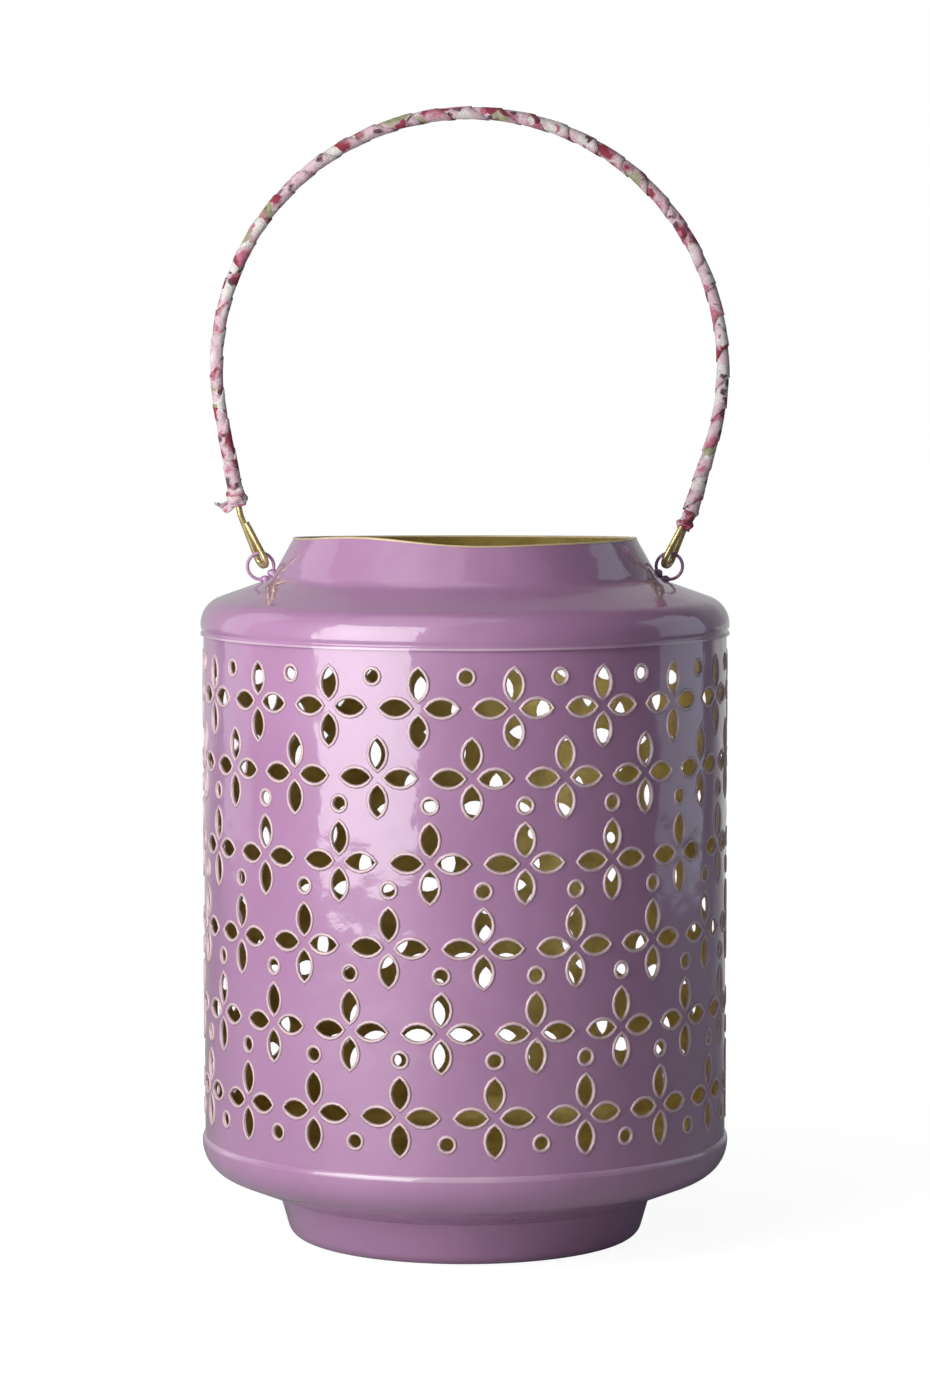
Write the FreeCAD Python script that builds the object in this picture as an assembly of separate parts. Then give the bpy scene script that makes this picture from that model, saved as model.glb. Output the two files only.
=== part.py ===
import FreeCAD, Part
import math
import os

os.makedirs("parts", exist_ok=True)
V = FreeCAD.Vector

# Sheet metal, in millimetres and degrees throughout
sheet = 0.7
seat_gap = 0.15
solder_gap = 0.05
body_radius = 79.3

# Pan and foot
foot_bottom_radius = 53.0
foot_edge_radius = 4.6
foot_lip_width = 4.0
foot_height = 12.9
foot_top_radius = 56.7
pan_slope = 21.9
pan_corner_radius = 10.6
pan_lap = 2.0

# Wall between pan and cap
wall_height = 157.4

# Shoulder cap
cap_lap = 3.2
cap_corner_radius = 8.3
shoulder_slope = 19.6
collar_lean = 29.4
collar_root_radius = 58.8
collar_blend_radius = 4.0
collar_height = 12.7

# Pierced pattern
flowers_round = 18
row_pitch = 24.6
rows_even = 5
row_first_above_pan = 17.0
row_top_pitch = 20.2
row_turn = 11.2
row_first_turn = 6.3
petal_length = 9.5
petal_width = 4.7
petal_reach = 6.8
dot_diameter = 3.7
dot_rise = 16.7
dots_skip_row = 4
edge_dot_rise = 9.0
edge_dot_drop = 7.7

# Ears
ear_radius = 4.0
ear_wire = 1.0
solder_bead = 1.5

# Bail
bail_wire_diameter = 1.9
arch_radius = 76.5
arch_rise = 55.9
arch_shift = 1.45
eye_lean = 21.0
eye_turn = 23.0
eye_seat_angle = 5.0
eye_half_width = 3.5
eye_length = 13.0
eye_play = 2.55
eye_tip_back = 3.0
eye_tip_gap = 0.25
eye_offset = 1.2
eye_bend = 2.3
neck_bend = 5.0
hinge_drop = 0.8

# Cloth on the bail
wrap_diameter = 4.3
wrap_gap = 0.1
wrap_above_neck = 0.8
cloth_gap = 0.2
knot_above_neck = 2.4
knot_length = 5.5
knot_diameter = 5.8
knot_tail_length = 6.0
knot_tail_width = 2.6
knot_tail_thickness = 0.9
tuck_length = 6.0
tuck_width = 7.4
tuck_depth = 4.2


def corner(before, at, after, radius):
    """Start, middle and end of the arc that rounds a corner."""
    d1 = (before - at).normalize()
    d2 = (after - at).normalize()
    half = d1.getAngle(d2) / 2
    reach = radius / math.tan(half)
    centre = at + (d1 + d2).normalize() * (radius / math.sin(half))
    middle = centre + (at - centre).normalize() * radius
    return at + d1 * reach, middle, at + d2 * reach


def rounded(points, radii):
    """Lines and tangent arcs through points, with a radius for each inner point."""
    edges = []
    here = points[0]
    for i in range(1, len(points) - 1):
        if radii[i - 1] > 0:
            a, m, b = corner(points[i - 1], points[i], points[i + 1], radii[i - 1])
            edges.append(Part.LineSegment(here, a).toShape())
            edges.append(Part.Arc(a, m, b).toShape())
            here = b
        else:
            edges.append(Part.LineSegment(here, points[i]).toShape())
            here = points[i]
    edges.append(Part.LineSegment(here, points[-1]).toShape())
    return edges


def side(a, b):
    """Left-hand normal of a line in the XZ plane."""
    d = (b - a).normalize()
    return V(-d.z, 0, d.x)


def shifted(points, offset):
    """The same open outline moved to its left by an offset, corner by corner."""
    normals = [side(a, b) for a, b in zip(points[:-1], points[1:])]
    out = [points[0] + normals[0] * offset]
    for i in range(1, len(points) - 1):
        both = normals[i - 1] + normals[i]
        out.append(points[i] + both * (offset / (1 + normals[i - 1].dot(normals[i]))))
    out.append(points[-1] + normals[-1] * offset)
    return out


def turn_sign(a, b, c):
    """1 where an outline turns to its left at b, else -1."""
    return 1 if side(a, b).dot(c - b) > 0 else -1


def spun(points, radii, thickness):
    """A spun sheet: the outline is one skin, and the other lies a thickness to its left."""
    inner = shifted(points, thickness)
    inner_radii = []
    for i, r in enumerate(radii):
        sign = turn_sign(points[i], points[i + 1], points[i + 2])
        inner_radii.append(r - sign * thickness if r > 0 else 0)
    edges = rounded(points, radii) + rounded(inner, inner_radii)
    edges.append(Part.LineSegment(points[0], inner[0]).toShape())
    edges.append(Part.LineSegment(points[-1], inner[-1]).toShape())
    face = Part.Face(Part.Wire(Part.__sortEdges__(edges)))
    return face.revolve(V(0, 0, 0), V(0, 0, 1), 360)


def tan(angle):
    return math.tan(math.radians(angle))


def polar(radius, azimuth, z):
    """A point by its angle from the front, positive to the right."""
    a = math.radians(azimuth)
    return V(radius * math.sin(a), -radius * math.cos(a), z)


def tube(edges, diameter):
    """A round bar along a path of lines and tangent arcs."""
    path = Part.Wire(edges)
    start = path.OrderedEdges[0]
    heading = start.tangentAt(start.FirstParameter)
    ring = Part.Wire(Part.makeCircle(diameter / 2, path.OrderedVertexes[0].Point, heading))
    return path.makePipeShell([ring], True, False)


def mirrored(shape):
    return shape.mirror(V(0, 0, 0), V(1, 0, 0))


# Foot ring: rests on its turned-in edge
skirt_radius = body_radius + seat_gap + sheet
foot_outline = [
    V(foot_bottom_radius - foot_edge_radius - foot_lip_width, 0, 0),
    V(foot_bottom_radius, 0, 0),
    V(foot_top_radius, 0, foot_height),
]
foot_ring = spun(foot_outline, [foot_edge_radius], sheet)
foot_ring = foot_ring.common(Part.makeCylinder(body_radius, foot_height))

# Base pan: flat floor, flared side and upright skirt
pan_rise = (skirt_radius - foot_top_radius) * tan(pan_slope)
pan_corner = foot_height + pan_rise
wall_bottom = pan_corner + pan_corner_radius * tan((90 - pan_slope) / 2)
pan_outline = [
    V(0, 0, foot_height),
    V(foot_top_radius, 0, foot_height),
    V(skirt_radius, 0, pan_corner),
    V(skirt_radius, 0, wall_bottom + pan_lap),
]
base_pan = spun(pan_outline, [0, pan_corner_radius], sheet)

# Shoulder cap: upright skirt, shoulder, collar and mouth
wall_top = wall_bottom + wall_height
shoulder_corner = wall_top + cap_corner_radius * tan((90 - shoulder_slope) / 2)
collar_root = shoulder_corner + (skirt_radius - collar_root_radius) * tan(shoulder_slope)
mouth_z = collar_root + collar_height
mouth_radius = collar_root_radius - collar_height * tan(collar_lean)
cap_outline = [
    V(skirt_radius, 0, wall_top - cap_lap),
    V(skirt_radius, 0, shoulder_corner),
    V(collar_root_radius, 0, collar_root),
    V(mouth_radius, 0, mouth_z),
]
shoulder_cap = spun(cap_outline, [cap_corner_radius, collar_blend_radius], sheet)

# Pierced wall
flat_lens = petal_width / 2
lens_tip = petal_length / 2


def petal_cutter(azimuth, z, direction):
    """A lens-shaped punch through the wall, its middle a reach from the flower's."""
    along = math.radians(direction)
    u = polar(1, azimuth + 90, 0)
    w = V(0, 0, 1)
    out = u * math.cos(along) + w * math.sin(along)
    across = w * math.cos(along) - u * math.sin(along)
    middle = polar(body_radius - 3 * sheet, azimuth, z) + out * petal_reach
    tips = [middle - out * lens_tip, middle + out * lens_tip]
    one = Part.Arc(tips[0], middle + across * flat_lens, tips[1]).toShape()
    two = Part.Arc(tips[1], middle - across * flat_lens, tips[0]).toShape()
    return Part.Face(Part.Wire([one, two])).extrude(polar(6 * sheet, azimuth, 0))


def dot_cutter(azimuth, z):
    return Part.makeCylinder(dot_diameter / 2, 6 * sheet, polar(body_radius - 3 * sheet, azimuth, z),
                             polar(1, azimuth, 0))


flower_step = 360 / flowers_round
row_first = wall_bottom + pan_lap + row_first_above_pan
row_heights = [row_first + row_pitch * k for k in range(rows_even)]
row_heights.append(row_heights[-1] + row_top_pitch)
punches = []
for k, z in enumerate(row_heights):
    for n in range(flowers_round):
        azimuth = row_first_turn - row_turn * k + flower_step * n
        for direction in (0, 90, 180, 270):
            punches.append(petal_cutter(azimuth, z, direction))
        if k < dots_skip_row:
            punches.append(dot_cutter(azimuth, z + dot_rise))
        if k == 0:
            punches.append(dot_cutter(azimuth + flower_step / 2, z - edge_dot_drop))
        if k == rows_even:
            punches.append(dot_cutter(azimuth + flower_step / 2, z + edge_dot_rise))
wall_foot = V(0, 0, wall_bottom)
wall = Part.makeCylinder(body_radius, wall_height, wall_foot)
wall = wall.cut(Part.makeCylinder(body_radius - sheet, wall_height, wall_foot))
pierced_body = wall.cut(punches).Solids[0]

# Ear rings: each touches the collar and the shoulder
ear_outer = ear_radius + ear_wire / 2 + solder_gap
collar_out = V(math.cos(math.radians(collar_lean)), 0, math.sin(math.radians(collar_lean)))
shoulder_out = V(math.sin(math.radians(shoulder_slope)), 0, math.cos(math.radians(shoulder_slope)))
ear_reach = ear_outer / (1 + collar_out.dot(shoulder_out))
ear_centre = V(collar_root_radius, 0, collar_root) + (collar_out + shoulder_out) * ear_reach
right_ear_ring = Part.makeTorus(ear_radius, ear_wire / 2, ear_centre, V(0, 1, 0))

# Solder: a bead at each touch, cut away where the ring and the cap are
solder_core = Part.makeTorus(ear_radius, ear_wire / 2 + solder_gap, ear_centre, V(0, 1, 0))
beads = []
for normal in (collar_out, shoulder_out):
    bead = Part.makeSphere(solder_bead, ear_centre - normal * (ear_radius + ear_wire / 2))
    beads.append(bead.cut(solder_core).cut(shoulder_cap))
kept = []
for bead in beads:
    for solid in bead.Solids:
        lower = solid.CenterOfMass
        off_collar = (lower - V(collar_root_radius, 0, collar_root)).dot(collar_out)
        off_shoulder = (lower - V(collar_root_radius, 0, collar_root)).dot(shoulder_out)
        if min(off_collar, off_shoulder) > 0:
            kept.append(solid)
right_ear_solder = Part.makeCompound(kept)

# Bail: two eyes, two straight arms and a round arch, bent from one wire
lean = math.radians(eye_lean)
up = V(math.sin(lean), 0, math.cos(lean))
outward = V(math.cos(lean), 0, -math.sin(lean))
seat = math.radians(eye_seat_angle)
pivot = ear_centre + V(math.sin(seat), 0, math.cos(seat)) * ear_radius
eye_drop = ear_wire / 2 + bail_wire_diameter / 2 + eye_play
eye_across = V(0, math.cos(math.radians(eye_turn)), 0) + outward * math.sin(math.radians(eye_turn))
arch_centre = V(arch_shift, 0, pivot.z + arch_rise)


def flipped(point):
    return V(-point.x, point.y, point.z)


def on_eye(along):
    """A point of the right eye's middle line, by its height above the seat."""
    share = (along + eye_drop) / (eye_length + eye_drop)
    return pivot + up * along + outward * (eye_offset * share)


def arm_touch(start, way):
    """Where the straight arm from a neck runs into the arch; way is 1 on the right and -1 on the left."""
    off = start - arch_centre
    turn = math.atan2(off.z, off.x * way) + math.acos(arch_radius / off.Length)
    return arch_centre + V(way * math.cos(turn), 0, math.sin(turn)) * arch_radius


def on_arm(start, top, along):
    """A point of a straight arm, by its distance above the neck."""
    return start + (top - start).normalize() * along


neck = on_eye(eye_length)
left_neck = flipped(neck)
right_top = arm_touch(neck, 1)
left_top = arm_touch(left_neck, -1)
near_side = eye_half_width * eye_tip_back / (eye_length + eye_drop)
tip_side = near_side - bail_wire_diameter - eye_tip_gap
eye_points = [
    on_eye(eye_length - eye_tip_back) + eye_across * tip_side,
    pivot - up * eye_drop - eye_across * eye_half_width,
    pivot - up * eye_drop + eye_across * eye_half_width,
    neck,
]
bends = [eye_bend, eye_bend, neck_bend]
right_edges = rounded(eye_points + [right_top], bends)
left_edges = rounded([flipped(p) for p in eye_points] + [left_top], bends)
arch = Part.Arc(right_top, arch_centre + V(0, 0, arch_radius), left_top).toShape()
bail_edges = right_edges + [arch] + left_edges[::-1]
bail_wire = tube(bail_edges, bail_wire_diameter)
bail_core = tube(bail_edges, bail_wire_diameter + 2 * wrap_gap)

# Cloth sleeve along the arms and the arch
knot_top = knot_above_neck + knot_length
wrap_edges = [
    Part.LineSegment(on_arm(neck, right_top, wrap_above_neck), right_top).toShape(),
    arch,
    Part.LineSegment(left_top, on_arm(left_neck, left_top, knot_top)).toShape(),
]
fabric_wrap = tube(wrap_edges, wrap_diameter).cut(tube(wrap_edges, bail_wire_diameter + 2 * wrap_gap))


def oval(centre, width, depth):
    """An oval across the right eye, wide along the eye's width."""
    ends = eye_across * (width / 2), up.cross(eye_across) * (depth / 2)
    return Part.Wire(Part.Ellipse(centre + ends[0], centre + ends[1], centre).toShape())


# Right end: bunched cloth round the neck of the eye
tuck_top = wrap_above_neck - cloth_gap
tuck_sections = [
    oval(on_eye(eye_length + tuck_top - tuck_length), tuck_width, tuck_depth),
    oval(on_eye(eye_length + tuck_top - tuck_length / 2), tuck_width * 0.92, tuck_depth * 1.04),
    oval(on_arm(neck, right_top, tuck_top), wrap_diameter * 0.9, wrap_diameter * 0.86),
]
right_wrap_tuck = Part.makeLoft(tuck_sections, True).cut(bail_core)

# Left end: a knot with a short loose tail
knot_sections = []
for along, diameter in (
    (knot_above_neck, wrap_diameter * 0.8),
    (knot_above_neck + knot_length * 0.45, knot_diameter),
    (knot_top - cloth_gap, wrap_diameter),
):
    circle = Part.makeCircle(diameter / 2, on_arm(left_neck, left_top, along), left_top - left_neck)
    knot_sections.append(Part.Wire(circle))
tail_reach = knot_diameter / 2 + knot_tail_length
tail_root = on_arm(left_neck, left_top, knot_above_neck + knot_length * 0.25)
tail = Part.makeBox(tail_reach, knot_tail_width, knot_tail_thickness)
tail.translate(tail_root - V(tail_reach, knot_tail_width / 2, knot_tail_thickness / 2))
knot = Part.makeLoft(knot_sections, True).fuse(tail).cut(bail_core)
left_wrap_knot = max(knot.Solids, key=lambda s: s.Volume)

nodes = {
    "pierced_body": pierced_body,
    "shoulder_cap": shoulder_cap,
    "base_pan": base_pan,
    "foot_ring": foot_ring,
    "left_ear_ring": mirrored(right_ear_ring),
    "right_ear_ring": right_ear_ring,
    "left_ear_solder": mirrored(right_ear_solder),
    "right_ear_solder": right_ear_solder,
    "bail_wire": bail_wire,
    "fabric_wrap": fabric_wrap,
    "left_wrap_knot": left_wrap_knot,
    "right_wrap_tuck": right_wrap_tuck,
}
for name, shape in nodes.items():
    shape.exportStep("parts/" + name + ".step")
    print(name, shape.isValid(), len(shape.Solids), round(shape.Volume, 1))
print("hinge height", pivot.z - hinge_drop, "crown", arch_centre + V(0, 0, arch_radius - wrap_diameter / 2))
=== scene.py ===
"""A pierced enamel candle lantern with a cloth-wrapped bail, dressed on its packed frame."""

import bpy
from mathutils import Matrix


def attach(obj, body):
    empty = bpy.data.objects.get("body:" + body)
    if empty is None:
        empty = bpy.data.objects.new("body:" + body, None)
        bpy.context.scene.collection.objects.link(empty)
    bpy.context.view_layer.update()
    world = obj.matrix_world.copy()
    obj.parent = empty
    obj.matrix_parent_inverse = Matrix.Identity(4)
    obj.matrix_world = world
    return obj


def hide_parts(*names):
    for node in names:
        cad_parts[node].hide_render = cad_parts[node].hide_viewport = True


bl_info = {
    "name": "Pierced candle lantern",
    "version": (1, 0, 0),
    "blender": (4, 5, 0),
    "location": "3D View > Sidebar > Lantern",
    "description": "Builds a pierced enamel candle lantern with a cloth-wrapped bail",
    "category": "Add Mesh",
}

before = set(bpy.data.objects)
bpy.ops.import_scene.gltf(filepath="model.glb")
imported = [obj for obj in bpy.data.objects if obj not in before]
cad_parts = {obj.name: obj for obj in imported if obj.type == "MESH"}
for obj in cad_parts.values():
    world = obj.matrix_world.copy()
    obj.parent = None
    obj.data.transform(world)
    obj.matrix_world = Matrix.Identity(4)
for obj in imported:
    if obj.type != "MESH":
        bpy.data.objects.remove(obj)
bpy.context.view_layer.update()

import math

import bmesh
import bpy
from bpy.props import FloatProperty, FloatVectorProperty, IntProperty, PointerProperty
from mathutils import Vector, noise

MM = 0.001
FULL_TURN = 2 * math.pi


# Properties

def length(name, description, millimetres):
    return FloatProperty(name=name, description=description, default=millimetres * MM, min=0.0,
                         subtype="DISTANCE", unit="LENGTH", precision=5)


def angle(name, description, degrees):
    return FloatProperty(name=name, description=description, default=math.radians(degrees),
                         subtype="ANGLE", unit="ROTATION")


def colour(name, description, value):
    return FloatVectorProperty(name=name, description=description, default=value, size=3,
                               min=0.0, max=1.0, subtype="COLOR")


def count(name, description, value):
    return IntProperty(name=name, description=description, default=value, min=1)


def power(name, description, watts):
    return FloatProperty(name=name, description=description, default=watts, min=0.0,
                         subtype="POWER", unit="POWER")


class LanternShell(bpy.types.PropertyGroup):
    """Sizes of the spun and rolled sheet metal."""
    sheet: length("Sheet", "Thickness of the enamelled sheet", 0.7)
    seat_gap: length("Seat gap", "Room between the wall and the skirts round it", 0.15)
    wall_radius: length("Wall radius", "Outside of the pierced wall", 79.3)
    wall_height: length("Wall height", "Height of the pierced wall", 157.4)
    foot_bottom_radius: length("Foot radius below", "Outside of the foot at its lower edge", 53.0)
    foot_top_radius: length("Foot radius above", "Outside of the foot where it meets the pan", 56.7)
    foot_edge_radius: length("Foot edge", "Rounding of the foot's lower edge", 4.6)
    foot_lip_width: length("Foot lip", "Flat width of the foot's turned-in edge", 4.0)
    foot_height: length("Foot height", "Height of the foot under the pan", 12.9)
    pan_slope: angle("Pan slope", "Rise of the pan's flared side", 21.9)
    pan_corner_radius: length("Pan corner", "Rounding from the pan's flare to its skirt", 10.6)
    pan_lap: length("Pan lap", "Height of the pan's skirt round the wall", 2.0)
    cap_lap: length("Cap lap", "Depth of the cap's skirt round the wall", 3.2)
    cap_corner_radius: length("Cap corner", "Rounding from the skirt to the shoulder", 8.3)
    shoulder_slope: angle("Shoulder slope", "Fall of the shoulder outwards", 19.6)
    collar_lean: angle("Collar lean", "Lean of the collar from upright", 29.4)
    collar_root_radius: length("Collar root", "Radius where the collar meets the shoulder", 58.8)
    collar_blend_radius: length("Collar blend", "Rounding between collar and shoulder", 7.0)
    collar_height: length("Collar height", "Height of the collar", 12.7)
    hem_bead: length("Hem bead", "Height of the bead along the cap's lower edge", 0.65)
    hem_cove: length("Hem cove", "Height of the hollow above that bead", 2.1)
    seam_round: length("Seam rounding", "Height over which the pan's upper edge rounds in to the wall", 1.6)
    rim_bead: length("Rim bead", "Half thickness of the rolled edge of the mouth", 0.5)
    rim_wave: length("Rim wave", "How far the worked rim of the mouth strays from level", 0.9)
    facets: count("Facets", "Faces round each spun shell", 192)


class LanternPattern(bpy.types.PropertyGroup):
    """Sizes of the pierced flowers and dots."""
    flowers_round: count("Flowers round", "Flowers in each row", 18)
    rows: count("Rows", "Rows of flowers", 6)
    first_row: length("First row", "Height of the lowest row above the pan's edge", 17.0)
    row_pitch: length("Row pitch", "Rise from row to row", 24.6)
    top_row_pitch: length("Top row pitch", "Rise to the top row", 20.2)
    first_turn: angle("First turn", "Turn of the lowest row from the front", 6.3)
    row_turn: angle("Row turn", "Turn from each row to the next", 11.2)
    petal_length: length("Petal length", "Length of a petal opening", 9.5)
    petal_width: length("Petal width", "Width of a petal opening", 4.7)
    petal_reach: length("Petal reach", "From the flower's middle to a petal's", 6.8)
    dot_diameter: length("Dot diameter", "Width of a round opening", 3.7)
    dot_rise: length("Dot rise", "From a flower's middle up to its dot", 16.7)
    edge_dot_rise: length("Top dot rise", "From the top row up to the dots between", 9.0)
    edge_dot_drop: length("Low dot drop", "From the lowest row down to the dots between", 7.7)
    lip: length("Lip", "Half width of the enamel bead round each opening", 0.57)


class LanternBail(bpy.types.PropertyGroup):
    """Sizes of the ears, the bail and its cloth."""
    ear_radius: length("Ear radius", "Middle radius of an ear ring", 4.0)
    ear_wire: length("Ear wire", "Thickness of an ear ring", 1.0)
    solder_gap: length("Solder gap", "Room that the solder fills", 0.05)
    wire: length("Bail wire", "Thickness of the bail's wire", 1.9)
    arch_radius: length("Arch radius", "Middle radius of the bail's arch", 76.5)
    arch_rise: length("Arch rise", "Height of the arch's centre above the seats", 55.9)
    arch_shift: length("Arch shift", "How far the arch leans to the right", 1.45)
    eye_lean: angle("Eye lean", "Lean of each eye outwards", 21.0)
    eye_turn: angle("Eye turn", "Turn of each eye's plane", 23.0)
    eye_seat: angle("Eye seat", "Where the eye sits on its ring, from the ring's top", 5.0)
    eye_half_width: length("Eye half width", "Half width of an eye", 3.5)
    eye_length: length("Eye length", "Height of an eye's neck above its seat", 13.0)
    eye_play: length("Eye play", "Room between eye and ring", 2.55)
    eye_tip_back: length("Eye tip", "How far the eye's end stops short of the neck", 3.0)
    eye_tip_gap: length("Eye tip gap", "Gap where the eye closes", 0.25)
    eye_offset: length("Eye offset", "How far the neck stands outside the seat", 1.2)
    eye_bend: length("Eye bend", "Rounding of an eye's lower corners", 2.3)
    neck_bend: length("Neck bend", "Rounding of an eye's neck", 5.0)
    wrap_outer: length("Wrap radius", "Outside of the wound cloth", 2.12)
    wrap_inner: length("Wrap inner radius", "Inside of the visible layer of cloth", 1.62)
    wrap_pitch: length("Wrap pitch", "Rise of the cloth in one turn", 9.4)
    wrap_above_neck: length("Wrap start", "Where the wrap starts above the right neck", 0.8)
    strip_width: length("Strip width", "Width of the cloth strip", 10.8)
    end_swell: length("End swell", "How much thicker the winding is, in radius, where it ends", 0.5)
    end_swell_length: length("End swell length", "How far the swell reaches from each end", 14.0)
    strip_thickness: length("Strip thickness", "Thickness of the cotton", 0.2)
    knot_above_neck: length("Knot start", "Where the knot starts above the left neck", 2.4)
    knot_length: length("Knot length", "Length of the knot on the left arm", 5.5)
    knot_radius: length("Knot radius", "Half width of the knot", 2.9)
    tail_length: length("Tail length", "Length of the knot's loose tail", 3.8)
    tuck_length: length("Tuck length", "Length of the bunched end on the right", 6.0)


class LanternFinish(bpy.types.PropertyGroup):
    """Colours and gloss of the lantern's finishes."""
    enamel: colour("Enamel", "Lilac enamel", (0.425, 0.218, 0.393))
    enamel_deep: colour("Deep enamel", "Lilac enamel where it lies thick", (0.39, 0.192, 0.358))
    # Painted highlight: a paler lilac on the cap's hem bead and the pan's upper edge, which paints the bright
    # line that light draws along them
    enamel_worn: colour("Worn enamel", "Paler lilac that paints the highlight line on raised edges", (0.58, 0.40, 0.53))
    lip: colour("Lip", "Pale enamel on the edges of the openings", (0.69, 0.50, 0.54))
    rim: colour("Rim", "Worn gold on the edge of the mouth", (0.66, 0.51, 0.30))
    lacquer: colour("Lacquer", "Gold lacquer inside", (0.70, 0.55, 0.18))
    lacquer_dark: colour("Dark lacquer", "Gold lacquer where it has dulled", (0.43, 0.31, 0.08))
    brass: colour("Wire", "Brass-coloured wire", (0.66, 0.54, 0.26))
    brass_dark: colour("Dull wire", "Tarnish on the wire", (0.28, 0.20, 0.08))
    cotton_ground: colour("Ground", "Ground of the printed cotton", (0.61, 0.43, 0.49))
    cotton_cream: colour("Cream", "Pale flowers in the print", (0.66, 0.62, 0.60))
    cotton_rose: colour("Rose", "Rose pink in the print", (0.46, 0.13, 0.20))
    cotton_crimson: colour("Crimson", "Crimson in the print", (0.26, 0.022, 0.05))
    cotton_sage: colour("Sage", "Leaves in the print", (0.29, 0.28, 0.15))
    cotton_plum: colour("Plum", "Dark mauve in the print", (0.10, 0.040, 0.06))


class LanternStage(bpy.types.PropertyGroup):
    """Camera, lamps and floor."""
    eye_distance: length("Camera distance", "From the axis to the camera", 1370.0)
    eye_height: length("Camera height", "Camera above the floor", 271.35)
    eye_pitch: angle("Camera pitch", "How far the camera looks down", 4.5)
    lens: FloatProperty(name="Lens", description="Focal length for a 36 mm tall picture", default=116.41,
                        subtype="DISTANCE_CAMERA", unit="CAMERA")
    key_power: power("Key power", "Softbox at the left front", 5.5)
    fill_power: power("Fill power", "Weak light from the right", 1.55)
    edge_power: power("Edge power", "Weak light from the left, for that edge", 1.2)
    top_power: power("Top power", "Soft light from above", 2.0)
    room_level: FloatProperty(name="Room level", description="Even light from all round", default=0.045,
                              min=0.0, max=1.0, subtype="FACTOR")


# Node helpers

SOCKETS = {float: "Float", int: "Int", bool: "Bool",
           bpy.types.Material: "Material", bpy.types.Object: "Object"}
MIX_COLOURS, MIX_RESULT = (6, 7), 2


class Graph:
    """A node tree under construction, with short calls for nodes, links and arithmetic."""

    def __init__(self, tree):
        self.tree = tree

    def put(self, socket, value):
        if isinstance(value, bpy.types.NodeSocket):
            self.tree.links.new(value, socket)
        else:
            socket.default_value = value

    def fill(self, node, inputs):
        for key, value in inputs.items():
            self.put(node.inputs[key], value)

    def node(self, kind, inputs=None, **settings):
        made = self.tree.nodes.new(kind)
        for key, value in settings.items():
            setattr(made, key, value)
        self.fill(made, inputs or {})
        return made

    def math(self, operation, a, b=0.0, c=0.0):
        return self.node("ShaderNodeMath", {0: a, 1: b, 2: c}, operation=operation).outputs[0]

    def add(self, a, b):
        return self.math("ADD", a, b)

    def sub(self, a, b):
        return self.math("SUBTRACT", a, b)

    def mul(self, a, b):
        return self.math("MULTIPLY", a, b)

    def div(self, a, b):
        return self.math("DIVIDE", a, b)

    def xyz(self, x=0.0, y=0.0, z=0.0):
        return self.node("ShaderNodeCombineXYZ", {0: x, 1: y, 2: z}).outputs[0]

    def split(self, vector):
        return self.node("ShaderNodeSeparateXYZ", {0: vector}).outputs

    def vector(self, operation, a, b=(0.0, 0.0, 0.0)):
        made = self.node("ShaderNodeVectorMath", {0: a, 1: b}, operation=operation)
        return made.outputs["Value" if operation in ("DOT_PRODUCT", "LENGTH") else "Vector"]

    def scaled(self, vector, scale):
        return self.node("ShaderNodeVectorMath", {0: vector, "Scale": scale}, operation="SCALE").outputs[0]


class GeometryGraph(Graph):
    """A Geometry Nodes tree with a named input for each of the values it is made for."""

    def __init__(self, name, values):
        super().__init__(bpy.data.node_groups.new(name, "GeometryNodeTree"))
        sockets = self.tree.interface
        sockets.new_socket("Geometry", in_out="OUTPUT", socket_type="NodeSocketGeometry")
        for label, value in values.items():
            sockets.new_socket(label, in_out="INPUT", socket_type="NodeSocket" + SOCKETS[type(value)])
        self.given = self.tree.nodes.new("NodeGroupInput").outputs
        self.result = self.tree.nodes.new("NodeGroupOutput").inputs[0]

    def made(self, kind, inputs=None):
        """The first output of a new geometry node."""
        return self.node("GeometryNode" + kind, inputs).outputs[0]

    def moved(self, geometry, position):
        return self.made("SetPosition", {"Geometry": geometry, "Position": position})

    def painted(self, geometry, material, selection=True):
        return self.made("SetMaterial", {"Geometry": geometry, "Material": material, "Selection": selection})

    def joined(self, *parts):
        made = self.node("GeometryNodeJoinGeometry")
        for part in parts:
            self.tree.links.new(part, made.inputs[0])
        return made.outputs[0]


def tree_of(build, values):
    """The tree that a function builds, made once; it ends in real faces."""
    tree = bpy.data.node_groups.get(build.__name__)
    if tree is None:
        g = GeometryGraph(build.__name__, values)
        g.put(g.result, g.made("RealizeInstances", {"Geometry": build(g, g.given)}))
        tree = g.tree
    return tree


def placed(name, data):
    obj = bpy.data.objects.new(name, data)
    bpy.context.scene.collection.objects.link(obj)
    return obj


def plain(obj):
    """Turns an object and its modifiers into a plain mesh."""
    graph = bpy.context.evaluated_depsgraph_get()
    mesh = bpy.data.meshes.new_from_object(obj.evaluated_get(graph), preserve_all_data_layers=True,
                                           depsgraph=graph)
    obj.modifiers.clear()
    obj.data = mesh
    mesh.name = obj.name
    return obj


def grown(name, build, values):
    """A plain mesh object made by a tree, its inputs set by their identifiers."""
    obj = placed(name, bpy.data.meshes.new(name))
    modifier = obj.modifiers.new(name, "NODES")
    modifier.node_group = tree_of(build, values)
    for item in modifier.node_group.interface.items_tree:
        if item.in_out == "INPUT":
            modifier[item.identifier] = values[item.name]
    return plain(obj)


def grown_along(name, build, points, values):
    """A plain mesh object made by a tree that follows points."""
    curve = bpy.data.curves.new(name + "_guide", "CURVE")
    curve.dimensions = "3D"
    spline = curve.splines.new("POLY")
    spline.points.add(len(points) - 1)
    for at, p in zip(spline.points, points):
        at.co = (*p, 1.0)
    guide = placed(name + "_guide", curve)
    made = grown(name, build, {"path": guide, **values})
    bpy.data.objects.remove(guide, do_unlink=True)
    return made


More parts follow.
